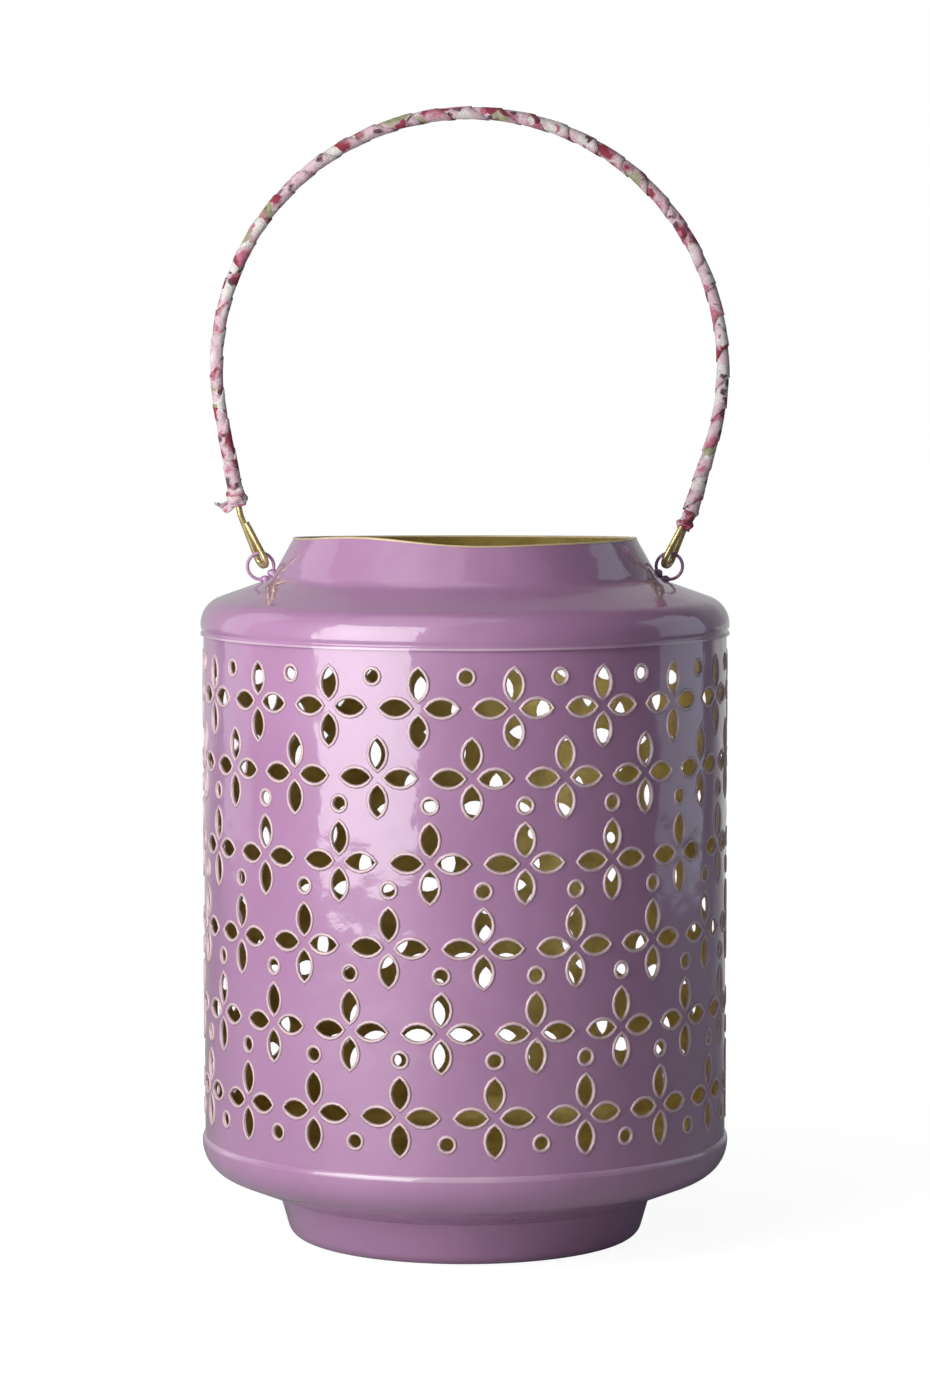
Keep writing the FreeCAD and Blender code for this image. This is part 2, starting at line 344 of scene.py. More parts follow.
def settle(obj, body, slot, *nodes):
    """Lets a finished piece ride on a body in place of its nodes."""
    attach(obj, body)
    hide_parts(*nodes)


# Materials

WHITE = (1.0, 1.0, 1.0, 1.0)
CLEAR = (0.0, 0.0, 0.0, 0.0)
THREAD_PITCH = 0.36 * MM
LIP_SHADE = 0.86


def surface(name):
    """A new material with its graph, its shader and its object coordinates."""
    material = bpy.data.materials.new(name)
    material.use_nodes = True
    graph = Graph(material.node_tree)
    shader = material.node_tree.nodes["Principled BSDF"]
    place = graph.node("ShaderNodeTexCoord").outputs["Object"]
    return material, graph, shader, place


def cloud(graph, place, scale, detail=2.0, roughness=0.5, output="Fac"):
    return graph.node("ShaderNodeTexNoise", {"Vector": place, "Scale": scale, "Detail": detail,
                                             "Roughness": roughness}).outputs[output]


def stretched(graph, value, low, high, to_low=0.0, to_high=1.0):
    return graph.node("ShaderNodeMapRange", {"Value": value, "From Min": low, "From Max": high,
                                             "To Min": to_low, "To Max": to_high}).outputs["Result"]


def blended(graph, factor, *colours):
    """A mix of two colours."""
    inputs = {"Factor": factor}
    for index, value in zip(MIX_COLOURS, colours):
        inputs[index] = value if isinstance(value, bpy.types.NodeSocket) else (*value, 1.0)
    return graph.node("ShaderNodeMix", inputs, data_type="RGBA").outputs[MIX_RESULT]


def bumped(graph, height, distance, strength, under=None):
    inputs = {"Height": height, "Distance": distance, "Strength": strength}
    if under is not None:
        inputs["Normal"] = under
    return graph.node("ShaderNodeBump", inputs).outputs["Normal"]


def enamel_finish(name, base, deep):
    """Glossy poured enamel with a faint orange peel and hand-worked waves."""
    material, g, shader, place = surface(name)
    tone = stretched(g, cloud(g, place, scale=26.0), 0.30, 0.72)
    rolled = bumped(g, cloud(g, place, scale=55.0), distance=0.0012, strength=0.5)
    worked = bumped(g, cloud(g, place, scale=620.0), distance=0.00010, strength=0.25, under=rolled)
    g.fill(shader, {
        "Base Color": blended(g, tone, base, deep),
        "Normal": worked,
        "Roughness": stretched(g, cloud(g, place, scale=120.0), 0.3, 0.7, 0.34, 0.44),
        "Specular IOR Level": 0.55,
        "Coat Weight": 1.0,
        "Coat IOR": 1.52,
        "Coat Roughness": 0.06,
        "Coat Normal": worked})
    return material


def lip_finish(name, pale):
    """Pale bead of enamel at a cut edge."""
    material, g, shader, place = surface(name)
    tone = stretched(g, cloud(g, place, scale=260.0), 0.35, 0.7)
    dim = tuple(c * LIP_SHADE for c in pale)
    g.fill(shader, {
        "Base Color": blended(g, tone, pale, dim),
        "Normal": bumped(g, cloud(g, place, scale=900.0), distance=0.00008, strength=0.3),
        "Roughness": stretched(g, tone, 0.0, 1.0, 0.26, 0.38),
        "Coat Weight": 0.4,
        "Coat Roughness": 0.1})
    return material


def metal_finish(name, bright, dull, stain, grain, roughness, metallic):
    """Worn metal: stain gives the dull patches' texture and range, and grain the fine bump's."""
    material, g, shader, place = surface(name)
    scale, fineness, low, high = stain
    patches = stretched(g, cloud(g, place, scale, 4.0, fineness), low, high)
    scale, distance, strength = grain
    g.fill(shader, {
        "Base Color": blended(g, patches, bright, dull),
        "Normal": bumped(g, cloud(g, place, scale), distance, strength),
        "Roughness": stretched(g, patches, 0.0, 1.0, *roughness),
        "Metallic": metallic})
    return material


def lacquer_finish(name, gold, dull):
    """Gold lacquer with a fine speckle and dull patches."""
    return metal_finish(name, gold, dull, stain=(90.0, 0.6, 0.38, 0.66), grain=(900.0, 0.00012, 0.35),
                        roughness=(0.38, 0.52), metallic=0.5)


def brass_finish(name, bright, dull):
    """Drawn brass-coloured wire with tarnish."""
    return metal_finish(name, bright, dull, stain=(420.0, 0.65, 0.42, 0.75), grain=(1900.0, 0.00006, 0.4),
                        roughness=(0.3, 0.52), metallic=0.7)


def cotton_finish(name, f):
    """Printed cotton: loose flowers and leaves on a pink ground, over a plain weave."""
    material, g, shader, _ = surface(name)
    strip = g.node("ShaderNodeAttribute", attribute_name="strip").outputs["Vector"]
    drift = g.vector("SUBTRACT", cloud(g, strip, scale=330.0, output="Color"), (0.5, 0.5, 0.5))
    place = g.vector("ADD", strip, g.scaled(drift, 0.0045))

    def motif(scale, tones, low, high, ground):
        """Scattered patches of the tones, each cut off at its edge; None leaves the ground bare."""
        cells = g.node("ShaderNodeTexVoronoi", {"Vector": place, "Scale": scale, "Randomness": 1.0})
        ramp = g.node("ShaderNodeValToRGB", {"Fac": g.split(cells.outputs["Color"])[0]})
        ramp.color_ramp.interpolation = "CONSTANT"
        stops = ramp.color_ramp.elements
        while len(stops) < len(tones):
            stops.new(0.5)
        for stop, (at, tone) in zip(stops, tones):
            stop.position = at
            stop.color = CLEAR if tone is None else (*tone, 1.0)
        edge = stretched(g, cells.outputs["Distance"], low, high, 1.0, 0.0)
        return blended(g, g.mul(edge, ramp.outputs["Alpha"]), ground, ramp.outputs["Color"])

    flowers = [(0.0, None), (0.12, f.cotton_crimson), (0.40, f.cotton_cream), (0.56, f.cotton_rose),
               (0.70, f.cotton_sage), (0.82, f.cotton_cream), (0.92, f.cotton_crimson)]
    sprigs = [(0.0, None), (0.50, f.cotton_plum), (0.68, None), (0.78, f.cotton_rose), (0.92, f.cotton_cream)]
    print_one = motif(185.0, flowers, 0.44, 0.66, f.cotton_ground)
    print_two = motif(370.0, sprigs, 0.30, 0.52, print_one)
    veins = stretched(g, cloud(g, place, scale=700.0, detail=3.0), 0.50, 0.74, 0.0, 0.36)
    shaded = blended(g, veins, print_two, f.cotton_plum)
    wash = stretched(g, cloud(g, strip, scale=300.0), 0.56, 0.74, 0.0, 0.35)
    along, across, _ = g.split(strip)
    warp, weft = (g.math("SINE", g.mul(way, FULL_TURN / THREAD_PITCH)) for way in (along, across))
    weave = g.add(g.mul(g.mul(warp, weft), 0.5), 0.5)
    creased = bumped(g, cloud(g, strip, scale=420.0), distance=0.0005, strength=0.6)
    g.fill(shader, {
        "Base Color": blended(g, wash, shaded, f.cotton_cream),
        "Normal": bumped(g, weave, distance=0.00004, strength=0.3, under=creased),
        "Roughness": 0.86,
        "Sheen Weight": 0.15,
        "Sheen Roughness": 0.5})
    return material


FINISHES = {
    "lantern_enamel": lambda name, f: enamel_finish(name, f.enamel, f.enamel_deep),
    # Painted highlight: the paler lilac of the raised edges along the hem and the seam
    "worn_enamel": lambda name, f: enamel_finish(name, f.enamel_worn, f.enamel),
    "opening_lip": lambda name, f: lip_finish(name, f.lip),
    "mouth_rim": lambda name, f: lip_finish(name, f.rim),
    "gold_lacquer": lambda name, f: lacquer_finish(name, f.lacquer, f.lacquer_dark),
    "bail_brass": lambda name, f: brass_finish(name, f.brass, f.brass_dark),
    "calico_cotton": cotton_finish,
}


def finish(name):
    """A finish of the lantern, made once."""
    return bpy.data.materials.get(name) or FINISHES[name](name, bpy.context.scene.lantern_finish)


# Shapes

ON_AXIS = 1e-9
EDGE_STEPS = 6
COVE_LEAN = 0.6
ROLL_PAST = 0.15
SHARP_EDGE = math.radians(50)
OUTSIDE, INSIDE, LAST_EDGE, FIRST_EDGE = range(4)


def point(r, z):
    return Vector((r, 0, z))


def bent(points, radii, steps=10):
    """Points along straight runs, with an arc of the given radius at each inner point."""
    out = [points[0]]
    for before, at, after, radius in zip(points, points[1:], points[2:], radii):
        if radius <= 0:
            out.append(at)
            continue
        d1 = (before - at).normalized()
        d2 = (after - at).normalized()
        half = d1.angle(d2) / 2
        centre = at + (d1 + d2).normalized() * (radius / math.sin(half))
        a = at + d1 * (radius / math.tan(half)) - centre
        b = at + d2 * (radius / math.tan(half)) - centre
        out += [centre + a.slerp(b, k / steps) * radius for k in range(steps + 1)]
    return out + [points[-1]]


def side(a, b):
    """Left-hand normal of a line in the XZ plane."""
    d = (b - a).normalized()
    return Vector((-d.z, 0, d.x))


def shifted(points, offset):
    """An open outline moved to its left, corner by corner."""
    normals = [side(a, b) for a, b in zip(points[:-1], points[1:])]
    out = [points[0] + normals[0] * offset]
    for at, before, after in zip(points[1:], normals, normals[1:]):
        out.append(at + (before + after) * (offset / (1 + before.dot(after))))
    return out + [points[-1] + normals[-1] * offset]


def shell_levels(s):
    """Heights and radii that the shells share."""
    out = {"skirt": s.wall_radius + s.seat_gap + s.sheet}
    out["pan_corner"] = s.foot_height + (out["skirt"] - s.foot_top_radius) * math.tan(s.pan_slope)
    out["wall_bottom"] = out["pan_corner"] + s.pan_corner_radius * math.tan((math.pi / 2 - s.pan_slope) / 2)
    out["wall_top"] = out["wall_bottom"] + s.wall_height
    out["shoulder"] = out["wall_top"] + s.cap_corner_radius * math.tan((math.pi / 2 - s.shoulder_slope) / 2)
    out["collar_root"] = out["shoulder"] + (out["skirt"] - s.collar_root_radius) * math.tan(s.shoulder_slope)
    out["mouth"] = out["collar_root"] + s.collar_height
    out["mouth_radius"] = s.collar_root_radius - s.collar_height * math.tan(s.collar_lean)
    return out


def rounded(a, b):
    """Points of a half-round edge from one face of a sheet to the other."""
    middle, arm = (a + b) / 2, (a - b) / 2
    out = Vector((-arm.z, 0, arm.x))
    turns = [math.pi * k / EDGE_STEPS for k in range(1, EDGE_STEPS)]
    return [middle + arm * math.cos(t) - out * math.sin(t) for t in turns]


def coved(end, bead, cove, depth, steps=10):
    """Points of a skirt's outside above its lower end: a flat bead, then a hollow that fades out upwards."""
    out = [end]
    for t in (k / steps for k in range(steps + 1)):
        out.append(end + point(-depth * math.sin(math.pi * t ** COVE_LEAN) ** 2, bead + cove * t))
    return out


def filled(end, width, height):
    """Points that carry a skirt's outside over its upper end and in to the wall."""
    turns = [math.pi / 2 * k / EDGE_STEPS for k in range(1, EDGE_STEPS + 1)]
    return [end + point(-width * (1 - math.cos(t)), height * math.sin(t)) for t in turns]


def rolled_over(middle, heading, radius, steps=10):
    """Points of a bead that turns a sheet's edge over, from its outside to its inside."""
    away = Vector((heading.z, 0, -heading.x))
    turns = [math.pi * (1 + ROLL_PAST - (1 + 2 * ROLL_PAST) * (1 - k / steps)) for k in range(steps + 1)]
    return [middle + away * (radius * math.cos(t)) + heading * (radius * math.sin(t)) for t in turns]


def banded(bm, here, there, kind=OUTSIDE):
    """Faces between two rings of points, either of which may be a single point."""
    around = max(len(here), len(there))
    for k in range(around):
        n = (k + 1) % around
        corners = [here[k % len(here)], here[n % len(here)], there[n % len(there)], there[k % len(there)]]
        bm.faces.new(list(dict.fromkeys(corners))).material_index = kind


def meshed(name, bm, *finishes):
    """An object with the smooth faces of a finished bmesh."""
    for face in bm.faces:
        face.smooth = True
    mesh = bpy.data.meshes.new(name)
    bm.to_mesh(mesh)
    bm.free()
    for each in finishes:
        mesh.materials.append(finish(each))
    return placed(name, mesh)


def spun(name, points, radii, s, finishes, hem=None, brim=None):
    """A spun sheet with rounded free edges; finishes are for its outside, inside, last edge and first edge.

    A hem takes the place of the outside's first point, and a brim goes on from its last.
    """
    inner_radii = []
    for i, r in enumerate(radii):
        left = side(points[i], points[i + 1]).dot(points[i + 2] - points[i + 1]) > 0
        inner_radii.append((r - s.sheet if left else r + s.sheet) if r > 0 else 0)
    outside = bent(points, radii)
    inside = bent(shifted(points, s.sheet), inner_radii)[::-1]
    profile = [(p, OUTSIDE) for p in (hem or outside[:1]) + outside[1:]]
    if hem:
        profile[0] = (hem[0], FIRST_EDGE)
    profile += [(p, LAST_EDGE) for p in brim or rounded(outside[-1], inside[0])]
    profile += [(p, INSIDE) for p in inside]
    closed_on_axis = points[0].x < ON_AXIS
    if not closed_on_axis:
        profile += [(p, FIRST_EDGE) for p in rounded(inside[-1], profile[0][0])]
    bm = bmesh.new()
    turns = [FULL_TURN * k / s.facets for k in range(s.facets)]
    rings = []
    for p, _ in profile:
        if p.x < ON_AXIS:
            rings.append([bm.verts.new(p)])
        else:
            rings.append([bm.verts.new((p.x * math.sin(t), -p.x * math.cos(t), p.z)) for t in turns])
    for i in range(len(rings) - 1 if closed_on_axis else len(rings)):
        j = (i + 1) % len(rings)
        banded(bm, rings[i], rings[j], max(profile[i][1], profile[j][1]))
    bmesh.ops.recalc_face_normals(bm, faces=bm.faces)
    made = meshed(name, bm, *finishes)
    made.data.set_sharp_from_angle(angle=SHARP_EDGE)
    return made


# Trees

OPENING_POINTS = 12
PUNCH_SHEETS = 5.0
DRUM_FACETS, DRUM_BANDS = 180, 40
BORE_SHARE = 1.1
EDGE_FACING = 0.6
LIP_POINTS, LIP_FLATNESS = 4, 0.62
WIRE_POINTS = 16

# The winding's unevenness: how fast each kind changes along and across the strip, and how far it goes
SWAY_RATE, SWAY_PITCHES = 70.0, 0.55
FRAY_RATES, FRAY_DEPTH = (900.0, 2.0), 1.3 * MM
LUMP_RATES, LUMP_DEPTH = (240.0, 1.4), 0.34 * MM


def pierced_wall(g, given):
    """A rolled wall punched with rows of four-petal flowers and dots, with a bead round each opening."""
    radius, sheet, height, lip = (given[key] for key in ("radius", "sheet", "height", "lip"))
    per_row, rows = given["flowers_round"], given["rows"]
    dot_radius = g.mul(given["dot_diameter"], 0.5)
    place = g.made("InputPosition")
    index = g.made("InputIndex")
    step = g.div(FULL_TURN, per_row)
    last_row = g.sub(rows, 1.0)

    def row_spot(row, column, half_step, rise):
        """A place in the unrolled wall, by row and column."""
        top = g.math("GREATER_THAN", row, g.sub(last_row, 0.5))
        even = g.mul(g.sub(row, top), given["row_pitch"])
        level = g.add(g.add(given["first_row"], even), g.add(g.mul(top, given["top_row_pitch"]), rise))
        turn = g.sub(given["first_turn"], g.mul(given["row_turn"], row))
        turn = g.add(turn, g.mul(step, g.add(column, half_step)))
        return g.xyz(g.mul(turn, radius), level)

    spots = g.mul(per_row, rows)
    group = g.math("FLOOR", g.div(g.add(index, 0.5), per_row))
    column = g.sub(index, g.mul(group, per_row))
    flowers = g.made("Points", {"Count": spots, "Position": row_spot(group, column, 0.0, 0.0)})
    low_edge = g.math("COMPARE", group, g.sub(rows, 2.0), 0.1)
    high_edge = g.math("COMPARE", group, last_row, 0.1)
    between = g.add(low_edge, high_edge)
    dot_row = g.mul(group, g.sub(1.0, low_edge))
    dot_lift = g.add(g.mul(g.sub(1.0, between), given["dot_rise"]),
                     g.sub(g.mul(high_edge, given["edge_dot_rise"]), g.mul(low_edge, given["edge_dot_drop"])))
    dot_spot = row_spot(dot_row, column, g.mul(between, 0.5), dot_lift)
    dots = g.made("Points", {"Count": spots, "Position": dot_spot})

    def lens(spread):
        """Where a ring's points go on a lens of two arcs, grown by a spread, and by half of it at the tips."""
        half = g.add(g.mul(given["petal_length"], 0.5), g.mul(spread, 0.5))
        wide = g.add(g.mul(given["petal_width"], 0.5), spread)
        bow = g.div(g.add(g.mul(half, half), g.mul(wide, wide)), g.mul(2.0, wide))
        reach = g.math("ARCSINE", g.div(half, bow))
        x, y, z = g.split(place)
        part = g.div(g.math("ABSOLUTE", g.math("ARCTAN2", y, x)), math.pi)
        at = g.mul(reach, g.sub(1.0, g.mul(2.0, part)))
        rise = g.sub(g.mul(bow, g.math("COSINE", at)), g.sub(bow, wide))
        return g.xyz(g.mul(bow, g.math("SINE", at)), g.mul(g.math("SIGN", y), rise), z)

    def real(geometry):
        return g.made("RealizeInstances", {"Geometry": geometry})

    def petals(shape):
        """Four copies of a petal's shape round a flower."""
        quarter = g.mul(index, math.pi / 2)
        spot = g.xyz(g.mul(g.math("COSINE", quarter), given["petal_reach"]),
                     g.mul(g.math("SINE", quarter), given["petal_reach"]))
        four = g.made("Points", {"Count": 4, "Position": spot})
        turned = g.xyz(0.0, 0.0, quarter)
        return real(g.made("InstanceOnPoints", {"Points": four, "Instance": shape, "Rotation": turned}))

    def rolled(flower, dot):
        """Sets flowers and dots all over the flat wall, then rolls it up."""
        one = g.made("InstanceOnPoints", {"Points": flowers, "Instance": flower})
        two = g.made("InstanceOnPoints", {"Points": dots, "Instance": dot})
        x, y, z = g.split(place)
        turn = g.div(x, radius)
        out = g.add(radius, z)
        back = g.mul(g.mul(out, g.math("COSINE", turn)), -1.0)
        return g.moved(real(g.joined(one, two)), g.xyz(g.mul(out, g.math("SINE", turn)), back, y))

    def punch(size):
        return g.made("MeshCylinder", {"Vertices": OPENING_POINTS, "Radius": size,
                                       "Depth": g.mul(sheet, PUNCH_SHEETS)})

    def drum(size, tall):
        made = g.made("MeshCylinder", {"Vertices": DRUM_FACETS, "Side Segments": DRUM_BANDS, "Radius": size,
                                       "Depth": tall})
        centre = g.xyz(0.0, 0.0, g.add(given["bottom"], g.mul(height, 0.5)))
        return g.made("Transform", {"Geometry": made, "Translation": centre})

    punches = rolled(petals(g.moved(punch(1.0), lens(0.0))), punch(dot_radius))
    cut = g.node("GeometryNodeMeshBoolean", {"Mesh 1": drum(radius, height)}, operation="DIFFERENCE",
                 solver="MANIFOLD")
    for tool in (drum(g.sub(radius, sheet), g.mul(height, BORE_SHARE)), punches):
        g.put(cut.inputs["Mesh 2"], tool)
    x, y, _ = g.split(place)
    outward = g.vector("DOT_PRODUCT", g.made("InputNormal"), g.vector("NORMALIZE", g.xyz(x, y)))
    wall = g.painted(cut.outputs[0], given["outside"])
    wall = g.painted(wall, given["inside"], g.math("LESS_THAN", outward, -EDGE_FACING))
    wall = g.painted(wall, given["edge"], g.math("LESS_THAN", g.math("ABSOLUTE", outward), EDGE_FACING))

    def ring(size):
        return g.made("MeshCircle", {"Vertices": OPENING_POINTS, "Radius": size})

    def bead(path):
        """A low round bar along a ring of points."""
        curve = g.made("MeshToCurve", {"Mesh": path})
        round_bar = g.made("CurvePrimitiveCircle", {"Resolution": LIP_POINTS, "Radius": lip})
        bar = g.made("CurveToMesh", {"Curve": curve, "Profile Curve": round_bar})
        return g.made("Transform", {"Geometry": bar, "Scale": (1.0, 1.0, LIP_FLATNESS)})

    petal_bead = bead(g.moved(ring(1.0), lens(lip)))
    beads = rolled(petals(petal_bead), bead(ring(g.add(dot_radius, lip))))
    return g.joined(wall, g.painted(beads, given["edge"]))


def round_wire(g, given):
    """A round bar along a guide curve."""
    path = g.node("GeometryNodeObjectInfo", {"Object": given["path"]}).outputs["Geometry"]
    path = g.made("SetSplineCyclic", {"Geometry": path, "Cyclic": given["closed"]})
    radius = g.mul(given["thickness"], 0.5)
    circle = g.made("CurvePrimitiveCircle", {"Resolution": WIRE_POINTS, "Radius": radius})
    bar = g.made("CurveToMesh", {"Curve": path, "Profile Curve": circle, "Fill Caps": True})
    return g.painted(g.made("SetShadeSmooth", {"Geometry": bar}), given["finish"])


def cloth_winding(g, given):
    """A flat strip wound round a guide curve, each turn lapping over the last."""
    inner, outer = given["inner_radius"], given["outer_radius"]
    pitch, width = given["pitch"], given["strip_width"]
    path = g.node("GeometryNodeObjectInfo", {"Object": given["path"]}).outputs["Geometry"]
    total = g.made("CurveLength", {"Curve": path})
    grid = g.made("MeshGrid", {"Size X": 1.0, "Size Y": 1.0, "Vertices X": given["steps"],
                               "Vertices Y": given["across"]})
    x, y, _ = g.split(g.made("InputPosition"))
    along = g.add(x, 0.5)
    across = g.add(y, 0.5)

    def uneven(rates, seed, detail):
        """Noise about zero that changes at the given rates along and across the strip."""
        spot = g.xyz(g.mul(along, rates[0]), g.mul(across, rates[1]), seed)
        return g.sub(cloud(g, spot, scale=1.0, detail=detail), 0.5)

    middle = g.mul(g.add(inner, outer), 0.5)
    slant = g.math("ARCTAN2", g.mul(middle, FULL_TURN), pitch)
    sway = g.node("ShaderNodeTexNoise", {"W": g.mul(along, SWAY_RATE), "Scale": 1.0, "Detail": 2.0},
                  noise_dimensions="1D").outputs["Fac"]
    edge = g.math("POWER", g.math("ABSOLUTE", g.sub(g.mul(across, 2.0), 1.0)), 4.0)
    stray = g.mul(g.mul(uneven(FRAY_RATES, seed=3.0, detail=3.0), edge), FRAY_DEPTH)
    off = g.add(g.mul(g.sub(across, 0.5), width), stray)
    axial = g.add(g.mul(total, along), g.mul(off, g.math("SINE", slant)))
    axial = g.add(axial, g.mul(g.sub(sway, 0.5), g.mul(pitch, SWAY_PITCHES)))
    axial = g.math("MINIMUM", g.math("MAXIMUM", axial, 0.0), total)
    turn = g.mul(g.div(g.mul(total, along), pitch), FULL_TURN)
    turn = g.sub(turn, g.div(g.mul(off, g.math("COSINE", slant)), middle))
    size = g.sub(outer, g.mul(g.sub(outer, inner), across))
    size = g.add(size, g.mul(uneven(LUMP_RATES, seed=9.0, detail=2.0), LUMP_DEPTH))
    near_end = g.div(g.math("MINIMUM", axial, g.sub(total, axial)), given["end_swell_length"])
    swell = g.math("EXPONENT", g.mul(g.mul(near_end, near_end), -1.0))
    size = g.add(size, g.mul(swell, given["end_swell"]))
    at = g.node("GeometryNodeSampleCurve", {"Curves": path, "Length": axial}, mode="LENGTH").outputs
    binormal = g.vector("CROSS_PRODUCT", at["Tangent"], at["Normal"])
    ray = g.vector("ADD", g.scaled(at["Normal"], g.math("COSINE", turn)),
                   g.scaled(binormal, g.math("SINE", turn)))
    strip_length = g.div(total, g.math("COSINE", slant))
    marks = g.xyz(g.mul(along, strip_length), g.mul(across, width))
    marked = g.node("GeometryNodeStoreNamedAttribute", {"Geometry": grid, "Name": "strip", "Value": marks},
                    data_type="FLOAT_VECTOR", domain="POINT").outputs[0]
    wound = g.moved(marked, g.vector("ADD", at["Position"], g.scaled(ray, size)))
    return g.painted(g.made("SetShadeSmooth", {"Geometry": wound}), given["finish"])


# Bail geometry

def flipped(p):
    return Vector((-p.x, p.y, p.z))


def on_eye(at, b, along):
    """A point of the right eye's middle line, by its height above the seat."""
    part = (along + at["drop"]) / (b.eye_length + at["drop"])
    return at["pivot"] + at["up"] * along + at["outward"] * (b.eye_offset * part)


def arm_turn(at, b, start, way):
    """The arch's angle where a straight arm from a neck runs into it; way is 1 on the right."""
    off = start - at["centre"]
    return math.atan2(off.z, off.x * way) + math.acos(b.arch_radius / off.length)


def bail_layout(s, b):
    """Places of the ears, the eyes, the arms and the arch, from the sizes."""
    levels = shell_levels(s)
    collar_out = point(math.cos(s.collar_lean), math.sin(s.collar_lean))
    shoulder_out = point(math.sin(s.shoulder_slope), math.cos(s.shoulder_slope))
    root = point(s.collar_root_radius, levels["collar_root"])
    outer = b.ear_radius + b.ear_wire / 2 + b.solder_gap
    ear = root + (collar_out + shoulder_out) * (outer / (1 + collar_out.dot(shoulder_out)))
    outward = point(math.cos(b.eye_lean), -math.sin(b.eye_lean))
    at = {"ear": ear, "collar_out": collar_out, "shoulder_out": shoulder_out, "outward": outward,
          "up": point(math.sin(b.eye_lean), math.cos(b.eye_lean)),
          "pivot": ear + point(math.sin(b.eye_seat), math.cos(b.eye_seat)) * b.ear_radius,
          "drop": b.ear_wire / 2 + b.wire / 2 + b.eye_play,
          "across": Vector((0, math.cos(b.eye_turn), 0)) + outward * math.sin(b.eye_turn)}
    at["centre"] = point(b.arch_shift, at["pivot"].z + b.arch_rise)
    at["neck"] = on_eye(at, b, b.eye_length)
    at["left_neck"] = flipped(at["neck"])
    at["arch"] = arch_points(at, b)
    at["right_up"] = (at["arch"][0] - at["neck"]).normalized()
    at["left_up"] = (at["arch"][-1] - at["left_neck"]).normalized()
    return at


def arch_points(at, b, steps=72):
    """The arch from the right arm's top over to the left arm's."""
    start = arm_turn(at, b, at["neck"], 1)
    end = math.pi - arm_turn(at, b, at["left_neck"], -1)
    turns = [start + (end - start) * k / steps for k in range(steps + 1)]
    return [at["centre"] + point(math.cos(t), math.sin(t)) * b.arch_radius for t in turns]


def bail_points(at, b):
    """The bail's whole centreline, from the right eye's tip to the left's."""
    near_side = b.eye_half_width * b.eye_tip_back / (b.eye_length + at["drop"])
    tip = on_eye(at, b, b.eye_length - b.eye_tip_back)
    tip = tip + at["across"] * (near_side - b.wire - b.eye_tip_gap)
    low = at["pivot"] - at["up"] * at["drop"]
    eye = [tip, low - at["across"] * b.eye_half_width, low + at["across"] * b.eye_half_width, at["neck"]]
    bends = [b.eye_bend, b.eye_bend, b.neck_bend]
    right = bent(eye + at["arch"][:1], bends, 12)[:-1]
    left = bent([flipped(p) for p in eye] + at["arch"][-1:], bends, 12)[:-1]
    return right + at["arch"] + left[::-1]


# Cloth ends

# How much of the print a bunch shows along and round it, and where on the strip the ends' print starts
PRINT_RUN, PRINT_GIRTH = 0.02, 0.013
KNOT_PRINT, TUCK_PRINT = 0.15, 0.033

# Each fold: its depth, how many go round, and how it slants along the cloth
KNOT_FOLDS = ((0.09, 3, 7), (0.05, 5, -11))
TUCK_FOLDS = ((0.07, 3, 5), (0.05, 5, -9))

KNOT_WAIST, KNOT_CREASE = 1.45 * MM, 0.25 * MM
TUCK_WIDTH, TUCK_DEPTH, TUCK_CREASE = 3.0 * MM, 2.6 * MM, 0.5 * MM
TAIL_ROWS, TAIL_COLUMNS, TAIL_LIFT = 12, 8, 0.16 * MM


def folded(folds, t, turn):
    """The share by which folds swell a bunch of cloth, at a place along and round it."""
    return 1 + sum(depth * math.sin(around * turn + slant * t) for depth, around, slant in folds)


def cloth_ring(bm, spots):
    """A ring of new points, each with its place on the flat strip."""
    layer = bm.verts.layers.float_vector["strip"]
    ring = []
    for spot, mark in spots:
        vert = bm.verts.new(spot)
        vert[layer] = mark
        ring.append(vert)
    return ring


def banded_rings(bm, rings):
    for here, there in zip(rings[:-1], rings[1:]):
        banded(bm, here, there)


def bunched(rings, columns, shape, start):
    """A closed bunch of cloth; shape gives a point for each share along it and turn round it."""
    bm = bmesh.new()
    bm.verts.layers.float_vector.new("strip")
    grid = []
    for i in range(rings + 1):
        grid.append(cloth_ring(bm, [
            (shape(i / rings, FULL_TURN * j / columns),
             (start + PRINT_RUN * i / rings, PRINT_GIRTH * j / columns, 0.0)) for j in range(columns)]))
    banded_rings(bm, grid)
    bm.faces.new(grid[0][::-1])
    bm.faces.new(grid[-1])
    return bm


def cloth_piece(name, bm):
    bmesh.ops.recalc_face_normals(bm, faces=bm.faces)
    return meshed(name, bm, "calico_cotton")


